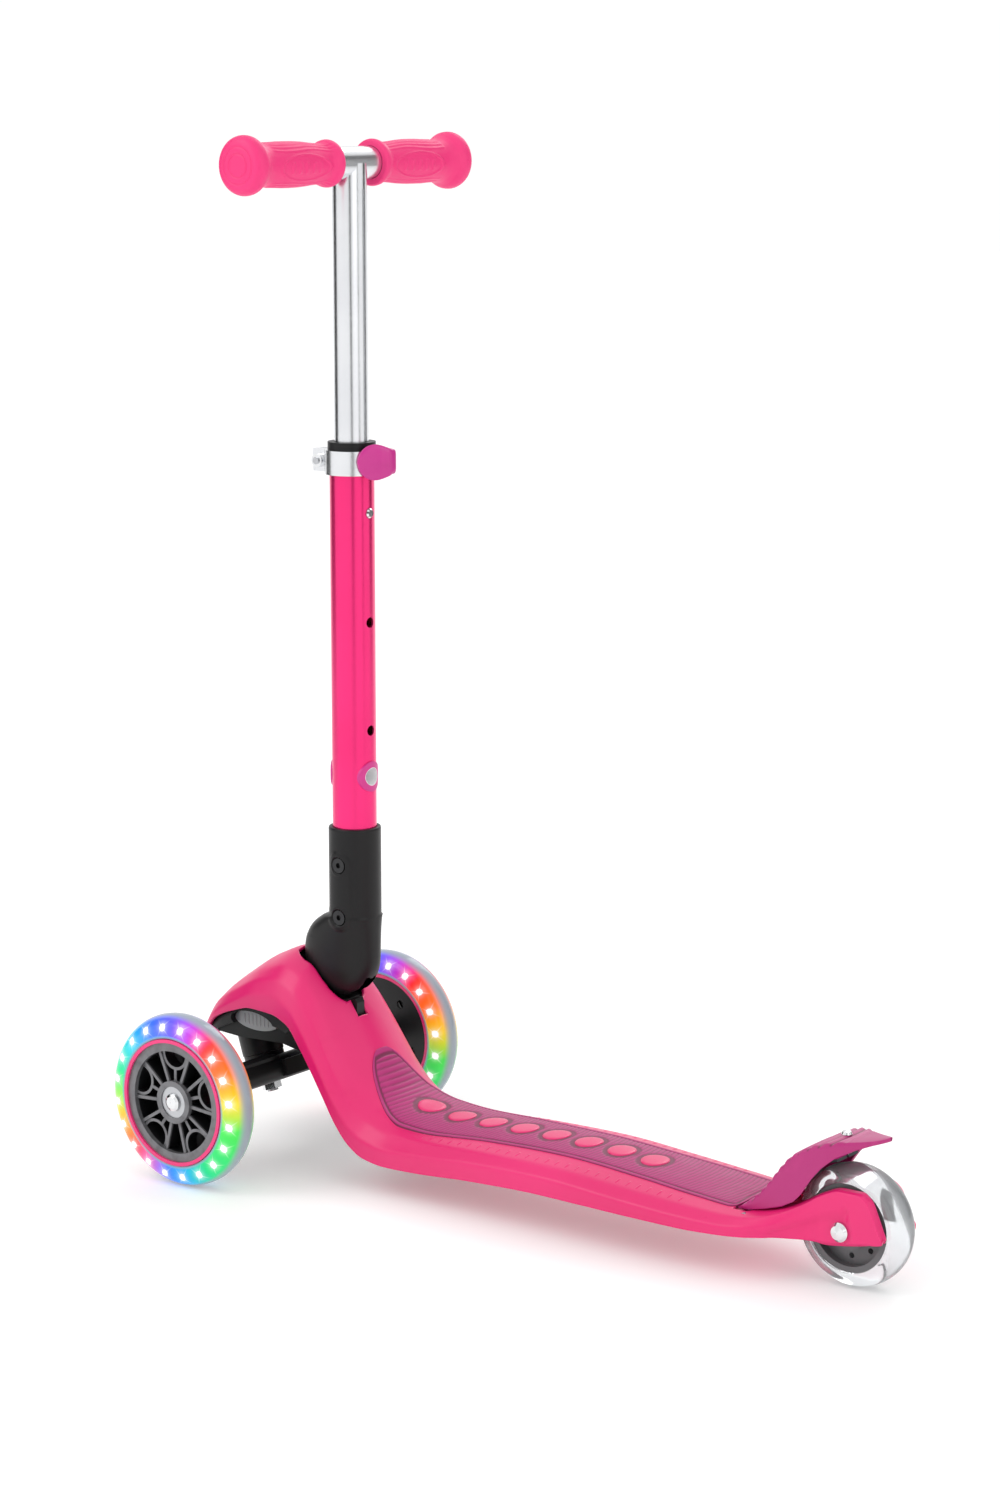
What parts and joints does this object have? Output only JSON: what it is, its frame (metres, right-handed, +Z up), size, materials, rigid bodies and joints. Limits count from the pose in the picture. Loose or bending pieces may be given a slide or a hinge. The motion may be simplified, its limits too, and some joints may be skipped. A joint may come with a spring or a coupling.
{
  "type": "kick scooter",
  "caption": "child's three-wheeled folding kick scooter with lean steering, a telescoping T-bar, light-up front wheels and a rear foot brake",
  "frame": {"origin": "on the floor plane, under the middle of the box, on the centre plane of the scooter", "axes": "+Z up along the T-bar column, -Y forward (front wheels), +X to the rider's left"},
  "size_m": [0.2488, 0.5752, 0.7145],
  "materials": {
    "pink_shell": "satin",
    "black_plastic": "matte",
    "purple_soft": "matte",
    "pink_rubber": "matte",
    "pink_metal": "satin",
    "silver_tube": "satin",
    "chrome_parts": "polished",
    "steel_parts": "satin",
    "grey_rim": "satin",
    "clear_tyre": "glossy",
    "light_pipes": "glossy",
    "pink_trim": "glossy",
    "grey_button": "satin",
    "dark_rubber": "matte",
    "purple_plastic": "satin"
  },
  "bodies": {
    "deck": {"deck_shell": "pink_shell", "footplate_pad": "purple_soft", "pad_studs": "pink_shell", "inner_frame": "black_plastic", "fold_button_spring": "steel_parts", "fold_pivot_pin": "steel_parts", "kingpin": "steel_parts", "kingpin_nut": "chrome_parts", "steering_bush": "dark_rubber", "rear_axle_bolt": "chrome_parts", "rear_axle_nut": "chrome_parts", "rear_spacers": "steel_parts", "brake_hinge_pin": "steel_parts", "brake_spring": "steel_parts"},
    "release_button": {"fold_button": "grey_button"},
    "truck": {"front_truck": "black_plastic", "front_axle_left": "chrome_parts", "front_axle_right": "chrome_parts"},
    "wheel_left": {"front_tyre_left": "clear_tyre", "wheel_lights_left": "light_pipes", "front_rim_left": "grey_rim", "trim_ring_left": "pink_trim", "front_bearings_left": "steel_parts"},
    "wheel_right": {"front_tyre_right": "clear_tyre", "wheel_lights_right": "light_pipes", "front_rim_right": "grey_rim", "trim_ring_right": "pink_trim", "front_bearings_right": "steel_parts"},
    "wheel_rear": {"rear_tyre": "clear_tyre", "rear_core": "grey_rim", "rear_bearings": "steel_parts"},
    "brake": {"rear_brake": "purple_soft", "brake_liner": "dark_rubber", "brake_rivet": "chrome_parts"},
    "column": {"hinge_sleeve": "black_plastic", "sleeve_screws": "steel_parts", "lower_tube": "pink_metal", "tube_grommet": "purple_plastic", "clamp_collar": "silver_tube", "clamp_bush": "black_plastic", "clamp_bolt": "steel_parts", "clamp_nut": "chrome_parts", "clamp_barrel_pin": "steel_parts"},
    "bar": {"stem": "silver_tube", "cross_tube": "silver_tube", "grip_left": "pink_rubber", "grip_right": "pink_rubber", "stem_foot_bush": "black_plastic", "snap_leaf": "steel_parts"},
    "height_button": {"snap_button": "chrome_parts"},
    "lever": {"clamp_lever": "purple_plastic"}
  },
  "joints": [
    {"name": "steer", "type": "hinge", "parent": "deck", "child": "truck", "pos_m": [0, -0.2516, 0.0605], "axis": [0, -0.309, 0.9511], "range_deg": [-18, 18], "stiffness_Nm_per_rad": 20},
    {"name": "spin_left", "type": "hinge", "parent": "truck", "child": "wheel_left", "pos_m": [0.11125, -0.2271, 0.0605], "axis": [1, 0, 0], "continuous": true},
    {"name": "spin_right", "type": "hinge", "parent": "truck", "child": "wheel_right", "pos_m": [-0.11125, -0.2271, 0.0605], "axis": [1, 0, 0], "continuous": true},
    {"name": "spin_rear", "type": "hinge", "parent": "deck", "child": "wheel_rear", "pos_m": [0, 0.2476, 0.04], "axis": [1, 0, 0], "continuous": true},
    {"name": "brake_press", "type": "hinge", "parent": "deck", "child": "brake", "pos_m": [0, 0.1849, 0.041], "axis": [-1, 0, 0], "range_deg": [0, 2], "stiffness_Nm_per_rad": 12},
    {"name": "fold", "type": "hinge", "parent": "deck", "child": "column", "pos_m": [0, -0.1771, 0.15], "axis": [-1, 0, 0], "range_deg": [0, 90]},
    {"name": "fold_release", "type": "slide", "parent": "deck", "child": "release_button", "axis": [-1, 0, 0], "range_m": [0, 0.0035], "stiffness_N_per_m": 600},
    {"name": "height", "type": "slide", "parent": "column", "child": "bar", "axis": [0, 0, 1], "range_m": [-0.15, 0], "deforming": ["snap_button"]},
    {"name": "height_snap", "type": "slide", "parent": "bar", "child": "height_button", "axis": [0, -1, 0], "range_m": [0, 0.0035], "stiffness_N_per_m": 500, "deforming": ["snap_leaf"]},
    {"name": "clamp_release", "type": "hinge", "parent": "column", "child": "lever", "pos_m": [-0.013, -0.1891, 0.495], "axis": [0, 0, 1], "range_deg": [0, 135]}
  ]
}
